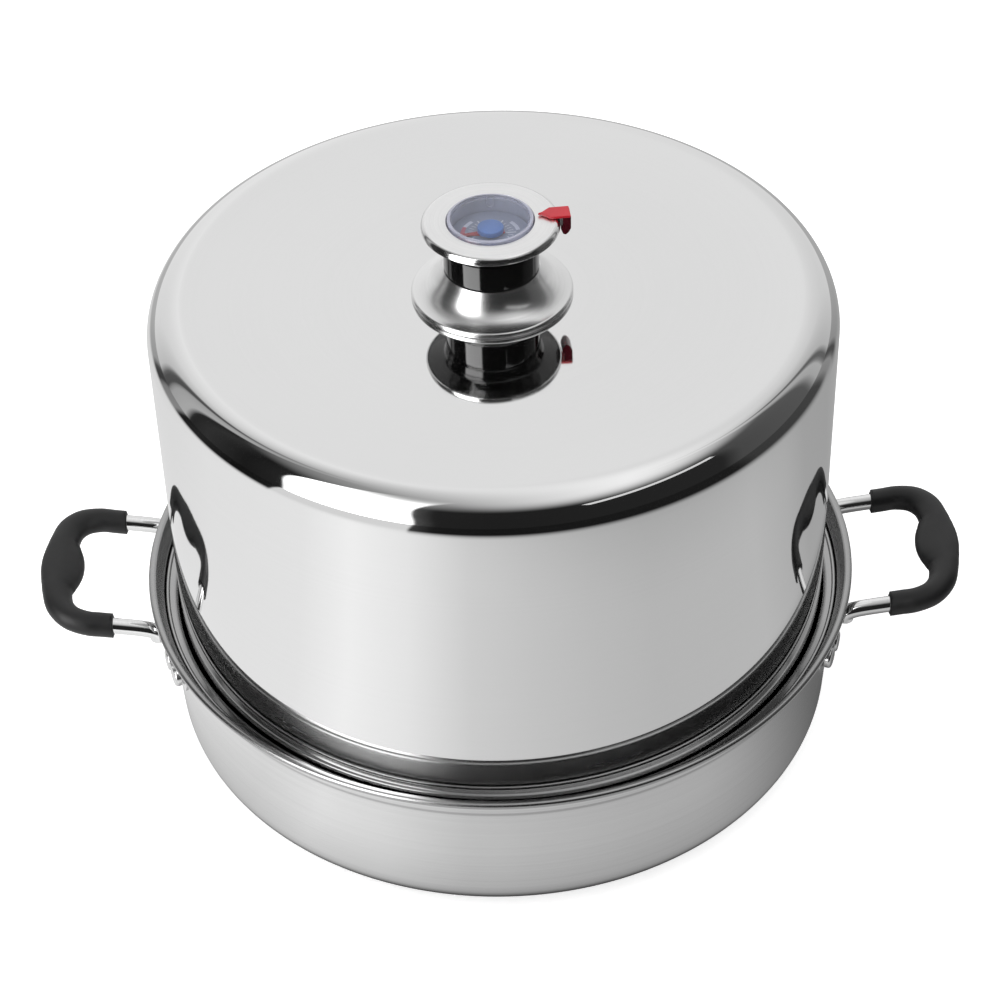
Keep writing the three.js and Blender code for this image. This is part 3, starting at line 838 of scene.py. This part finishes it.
def buildGauge():
    cup = buildTurned("steel_cup", [
        (3.2, 20.6), (18.4, 20.6, 0.6), (18.4, 36), (17.8, 36), (17.8, 28.5), (16.5, 28.5), (16.5, 21.2),
        (3.2, 21.2),
    ], steel["fitting"], "lid", "gauge_steel", "gauge_cup", around=96)
    # above the dial the cup's inside is lined
    lining = knobFoot + dialShape["liningFrom"] * mm
    secondFinish(cup, bezelPlastic, lambda face: face.center.z > lining and facesInward(face))
    top, edge = dialShape["height"], dialShape["radius"]
    under = top - dialShape["thick"]
    buildTurned("dial_disc", [(1.5, under), (edge, under), (edge, top), (1.5, top)],
                dialFinish(), "lid", "dial_face", "dial_plate", around=96)
    ink = mouldedFinish("tickInk", (0.86, 0.88, 0.92), (0.4, 0.5), 2000, 0.02)
    ticks = grown("dial_marks", tickTree(), bpy.data.meshes.new("none"), dialTicks, ink)
    dress(ticks, ink, "lid", "dial_face")
    lens = buildTurned("clear_lens", [
        (0, 38), *curved((1, 38), (12, 37.9), (16.6, 37.2), 8), (16.8, 36.3, 0.1), (18.6, 36.3, 0.3),
        (18.6, 38.6, 0.7), *curved((17.2, 38.8), (12, 39.2), (1, 39.3), 8), (0, 39.3),
    ], glassFinish(), "lid", "lens_clear", "gauge_lens", around=128)
    lens.visible_shadow = False
    rim = mouldedFinish("lensRim", (0.66, 0.67, 0.80), (0.10, 0.18), 700, 0.02, Transmission_Weight=0.45,
                        Coat_Weight=0.5)
    rimFrom = dialShape["lensRimFrom"] * mm
    secondFinish(lens, rim, lambda face: math.hypot(face.center.x, face.center.y) > rimFrom)
    latch = loftedMesh("lens_latch", tubeRings(latchCentres(), latchShape["wire"], 12))
    dress(linkMesh("lens_latch", latch), rim, "lid", "lens_clear")
    buildTurned("hub_cap", [(0, 30.7), (5.7, 30.7, 0.2), (5.7, 33.4, 0.5), (0, 33.4)], hubPlastic,
                "gauge_needle", "hub_blue", "needle_hub", around=64)
    buildTurned("spindle_pin", [(0, -42.5), (0.6, -42.5), (0.6, 30.4), (0, 30.4)], steel["fitting"],
                "gauge_needle", "fitting_steel", "needle_spindle", around=20)


buildGauge()


def buildFittings():
    thread = [(5.0 if k % 2 else 4.6, -12.6 + 0.5 * k) for k in range(22)]
    buildTurned("threaded_stem", [
        (3.3, -13), *thread, (5, 18.3), (9, 18.3, 0.3), (9, 20.3, 0.3), (3.3, 20.3),
    ], steel["fitting"], "lid", "fitting_steel", "knob_stem", around=64)
    buildTurned("silicone_washer", [(5.3, -3.3, 0.3), (12, -3.3, 0.6), (12, -1.3, 0.6), (5.3, -1.3, 0.3)],
                sealRubber, "lid", "seal_silicone", "seal_washer", around=64)
    buildTurned("flat_washer", [(5.3, -4.8, 0.15), (10.5, -4.8, 0.3), (10.5, -3.6, 0.3), (5.3, -3.6, 0.15)],
                steel["fitting"], "lid", "fitting_steel", "steel_washer", around=64)
    buildTurned("probe", [
        (0, -46), (2.9, -46, 1.2), (2.9, 21.5), (5, 21.5), (5, 22.3), (2.2, 22.3), (2.2, -44.8), (0, -44.8),
    ], steel["fitting"], "lid", "fitting_steel", "probe_tube", around=40)


buildFittings()


# a flat outline made solid between two heights, with its edges rounded
def solidOutline(shell, outline, low, high, rounding):
    floor = [shell.verts.new((x * mm, y * mm, low * mm)) for x, y in outline]
    roof = [shell.verts.new((x * mm, y * mm, high * mm)) for x, y in outline]
    count = len(outline)
    made = [shell.faces.new(floor), shell.faces.new(roof)]
    for i in range(count):
        j = (i + 1) % count
        made.append(shell.faces.new((floor[i], floor[j], roof[j], roof[i])))
    bmesh.ops.recalc_face_normals(shell, faces=made)
    edges = list({edge for face in made for edge in face.edges})
    bmesh.ops.bevel(shell, geom=edges, offset=rounding * mm, segments=2, affect="EDGES", clamp_overlap=True)


clipShape = {"azimuth": math.radians(5), "tip": 20.6, "neck": 25.6, "outer": 34.3, "inner": 30.8,
             "width": 7.8, "thick": 1.1, "height": 37.9, "rounding": 0.22}


# The clip: an arrow lying on the cap, and a thick hook that reaches round the cap's edge and under it
def buildClip():
    s = clipShape
    half = s["width"] / 2
    arrow = [(s["tip"], -0.3), (s["tip"] + 1.6, -0.9), (s["neck"], -half), (s["outer"] - 0.2, -half),
             (s["outer"] - 0.2, half), (s["neck"], half), (s["tip"] + 1.6, 0.9), (s["tip"], 0.3)]
    shell = bmesh.new()
    solidOutline(shell, arrow, 0, s["thick"], s["rounding"])
    top = set(shell.verts)
    hook = [(s["outer"], 0.6), (s["outer"], -5.6), (s["outer"] - 1, -7.6), (s["outer"] - 2.2, -8.7),
            (s["outer"] - 3.4, -8.3), (s["inner"] - 0.9, -5.6), (s["inner"] - 0.9, -4.4), (s["inner"], -4.4),
            (s["inner"], 0.6)]
    solidOutline(shell, hook, -half + 0.3, half - 0.3, s["rounding"])
    # the hook's outline stands upright, across the arrow
    upright = Matrix.Rotation(math.pi / 2, 4, "X")
    fresh = [vert for vert in shell.verts if vert not in top]
    bmesh.ops.transform(shell, matrix=upright, verts=fresh)
    mesh = bpy.data.meshes.new("arrow_clip")
    shell.to_mesh(mesh)
    shell.free()
    place = Matrix.Translation((0, 0, knobFoot + s["height"] * mm)) @ Matrix.Rotation(s["azimuth"], 4, "Z")
    mesh.transform(place)
    clip = linkMesh("arrow_clip", smoothed(mesh, sharpFrom=45))
    dress(clip, clipEnamel, "altitude_clip", "clip_red", "altitude_clip")
    # the hook below the arrow gets the painted shade
    secondFinish(clip, clipPaintedShade, lambda face: face.center.z < knobFoot + (s["height"] - 0.3) * mm)


buildClip()

# these three keep their CAD shape and only get a finish
for node, material in {"lock_nut": steel["fitting"], "bimetal_coil": coilBronze,
                       "gauge_needle": needlePaint}.items():
    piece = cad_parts[node]
    piece.data.materials.clear()
    piece.data.materials.append(material)
print("thermometer made")


# Brightness round the room at eye level, by azimuth in degrees: 0 is behind the canner, -90 its left.
# A white backdrop stands behind, a tall softbox front left, and the rest of the room is dark.
roomRing = [(-180, 0.016), (-162, 0.018), (-156, 0.08), (-153, 4.5), (-117, 4.5), (-114, 0.02), (-100, 0.012),
            (-84, 0.035), (-76, 0.02), (-73, 0.48), (-64, 0.40), (-62, 0.09), (-58, 0.10), (-55, 0.60),
            (-42, 0.80), (-11, 0.95), (-6, 0.91), (7, 0.86), (12, 0.83), (38, 0.72), (55, 0.52), (57.5, 0.14),
            (60, 0.14), (61.5, 0.48), (66, 0.44), (71, 0.11), (103, 0.075), (110, 0.022), (180, 0.016)]
ringScale = 5.0
ringLean = 0.5  # how far the ring turns towards the ceiling
# The lit table round the canner, by azimuth in degrees from the front, right side positive. The light
# comes from the left, so the canner's shade lies right of it.
tableRing = [(-180, 0.56), (-140, 0.74), (-112, 0.82), (-90, 0.90), (-55, 0.95), (-40, 1.07), (-24, 0.96),
             (-8, 0.75), (8, 0.67), (24, 0.61), (40, 0.57), (75, 0.57), (90, 0.50), (101, 0.42), (120, 0.38),
             (150, 0.42), (180, 0.56)]
tableScale = 1.1
# how much of that light reaches the table at a distance from the canner's middle, in metres
contactShade = [(0.140, 0.03), (0.150, 0.12), (0.157, 0.62), (0.166, 0.80), (0.177, 0.91), (0.190, 1.0)]
contactReach = 0.4
# the shade beside the canner: where it sets in, in degrees, how deep it is, and where it ends, in metres
sideShade = {"turn": (38, 84), "least": 0.34, "reach": (0.195, 0.235)}
# the lit table fades out at this distance from its middle
tableEdge = {"centre": (-0.12, 0.08, 0), "reach": (0.45, 0.80)}
# beyond the table the floor shows a share of the room's brightness, up to a most
farFloor = {"share": 0.6, "most": 0.8}
# how brightness changes per unit of direction: x to the right, y to the back, z up
ceilingLight = {"middle": 0.72, "x": 1.1, "y": 0.4, "z": 0.0, "least": 0.35, "most": 1.1,
                "from": (0.70, 0.98)}
fillLight = {"middle": 0.42, "x": -0.25, "y": 0.2, "z": 0.75}
# a slim strip light high on the right, in front; only the polish shows it
strip = {"azimuth": 127, "elevation": 42.5, "distance": 2.0, "wide": 1.35, "tall": 0.16, "aim": (0, 0, 0.23),
         "tilt": -0.06, "glow": 0.8}


# a curve of brightness through the stops, each a place from 0 to 1 and a value up to the scale
def brightnessCurve(tree, value, stops, scale):
    curve = addNode(tree, "ShaderNodeValToRGB", {"Fac": value})
    made = curve.color_ramp.elements
    for i, (place, brightness) in enumerate(stops):
        stop = made[i] if i < 2 else made.new(place)
        stop.position = place
        stop.color = (*[brightness / scale] * 3, 1)
    return times(tree, curve.outputs["Color"], scale)


# the same over a full turn, leaning by an angle, with the stops in degrees from -180 to 180
def brightnessRound(tree, x, y, lean, stops, scale):
    azimuth = mathNode(tree, "ADD", mathNode(tree, "ARCTAN2", x, y), lean)
    turned = [(degrees / 360 + 0.5, brightness) for degrees, brightness in stops]
    return brightnessCurve(tree, ramp(tree, azimuth, 0.0, 1.0, -math.pi, math.pi), turned, scale)


def smoothRamp(tree, value, fromLow, fromHigh, low=0.0, high=1.0):
    return addNode(tree, "ShaderNodeMapRange", {"Value": value, "From Min": fromLow, "From Max": fromHigh,
                                                "To Min": low, "To Max": high},
                   interpolation_type="SMOOTHSTEP").outputs["Result"]


def mixed(tree, share, first, second):
    return addNode(tree, "ShaderNodeMix", {0: share, 2: first, 3: second}).outputs[0]


# The floor is plain white paint. In polished metal it shows as a lit table in a dark room.
def buildFloor():
    mesh = meshFrom("floor", [(-6, -6, 0), (6, -6, 0), (6, 6, 0), (-6, 6, 0)], [(0, 1, 2, 3)])
    floor = linkMesh("floor", mesh)
    floor.location.z = -0.3 * mm
    material, tree, shader = newFinish("floorPaint", Base_Color=(0.88, 0.88, 0.88, 1), Roughness=0.9,
                                       Specular_IOR_Level=0.1, Emission_Color=(1, 1, 1, 1),
                                       Emission_Strength=0.66)
    place = addNode(tree, "ShaderNodeTexCoord").outputs["Object"]
    x, y, z = addNode(tree, "ShaderNodeSeparateXYZ", {"Vector": place}).outputs
    towards = times(tree, y, -1.0)
    around = brightnessRound(tree, x, towards, 0.0, tableRing, tableScale)
    reach = addNode(tree, "ShaderNodeVectorMath", {0: place}, operation="LENGTH").outputs["Value"]
    contact = brightnessCurve(tree, mathNode(tree, "DIVIDE", reach, contactReach),
                              [(distance / contactReach, light) for distance, light in contactShade], 1.0)
    turn = mathNode(tree, "ARCTAN2", x, towards)
    fromTurn, toTurn = (math.radians(degrees) for degrees in sideShade["turn"])
    dim = smoothRamp(tree, turn, fromTurn, toTurn, 1.0, sideShade["least"])
    side = mixed(tree, smoothRamp(tree, reach, *sideShade["reach"]), dim, 1.0)
    near = times(tree, times(tree, around, contact), side)
    away = addNode(tree, "ShaderNodeVectorMath", {0: place, 1: tableEdge["centre"]}, operation="DISTANCE")
    beyond = smoothRamp(tree, away.outputs["Value"], *tableEdge["reach"])
    room = brightnessRound(tree, x, y, 0.0, roomRing, ringScale)
    far = mathNode(tree, "MINIMUM", times(tree, room, farFloor["share"]), farFloor["most"])
    glow = addNode(tree, "ShaderNodeEmission", {"Strength": mixed(tree, beyond, near, far)})
    reflected = addNode(tree, "ShaderNodeLightPath").outputs["Is Glossy Ray"]
    both = addNode(tree, "ShaderNodeMixShader", {0: reflected, 1: shader.outputs[0], 2: glow.outputs[0]})
    tree.links.new(both.outputs[0], tree.nodes["Material Output"].inputs["Surface"])
    floor.data.materials.append(material)


# brightness that changes evenly with direction
def slanted(tree, direction, light):
    total = light["middle"]
    for part, axis in zip(direction, "xyz"):
        total = mathNode(tree, "ADD", times(tree, part, light[axis]), total)
    return total


def buildWorld():
    world = bpy.data.worlds.new("studio")
    bpy.context.scene.world = world
    world.use_nodes = True
    tree = world.node_tree
    background = tree.nodes["Background"]
    background.inputs["Color"].default_value = (1, 1, 1, 1)
    direction = addNode(tree, "ShaderNodeTexCoord").outputs["Generated"]
    x, y, z = addNode(tree, "ShaderNodeSeparateXYZ", {"Vector": direction}).outputs
    lean = times(tree, times(tree, times(tree, z, z), x), ringLean)
    ring = brightnessRound(tree, x, y, lean, roomRing, ringScale)
    # the ceiling is lit from the right and a little from behind
    ceiling = mathNode(tree, "MAXIMUM", slanted(tree, (x, y, z), ceilingLight), ceilingLight["least"])
    ceiling = mathNode(tree, "MINIMUM", ceiling, ceilingLight["most"])
    room = mixed(tree, smoothRamp(tree, z, *ceilingLight["from"]), ring, ceiling)
    # soft light for everything that is not polished: strongest from above, the left and the back
    fill = slanted(tree, (x, y, z), fillLight)
    path = addNode(tree, "ShaderNodeLightPath").outputs
    lit = mixed(tree, path["Is Glossy Ray"], fill, room)
    tree.links.new(mixed(tree, path["Is Camera Ray"], lit, 1.0), background.inputs["Strength"])


def stripLight():
    azimuth, elevation = math.radians(strip["azimuth"]), math.radians(strip["elevation"])
    flat = math.cos(elevation)
    out = Vector((math.sin(azimuth) * flat, math.cos(azimuth) * flat, math.sin(elevation)))
    centre = Vector(strip["aim"]) + strip["distance"] * out
    aside = Vector((math.cos(azimuth), -math.sin(azimuth), strip["tilt"])) * strip["wide"] / 2
    up = aside.cross(out).normalized() * strip["tall"] / 2
    corners = [centre - aside - up, centre + aside - up, centre + aside + up, centre - aside + up]
    card = linkMesh("stripLight", meshFrom("stripLight", corners, [(0, 1, 2, 3)]))
    glow = newFinish("stripGlow", Base_Color=(0, 0, 0, 1), Emission_Color=(1, 1, 1, 1),
                     Emission_Strength=strip["glow"])[0]
    card.data.materials.append(glow)
    card.visible_camera = card.visible_diffuse = card.visible_shadow = False


buildFloor()
buildWorld()
stripLight()
bpy.context.scene.view_settings.view_transform = "Standard"
print("studio made")
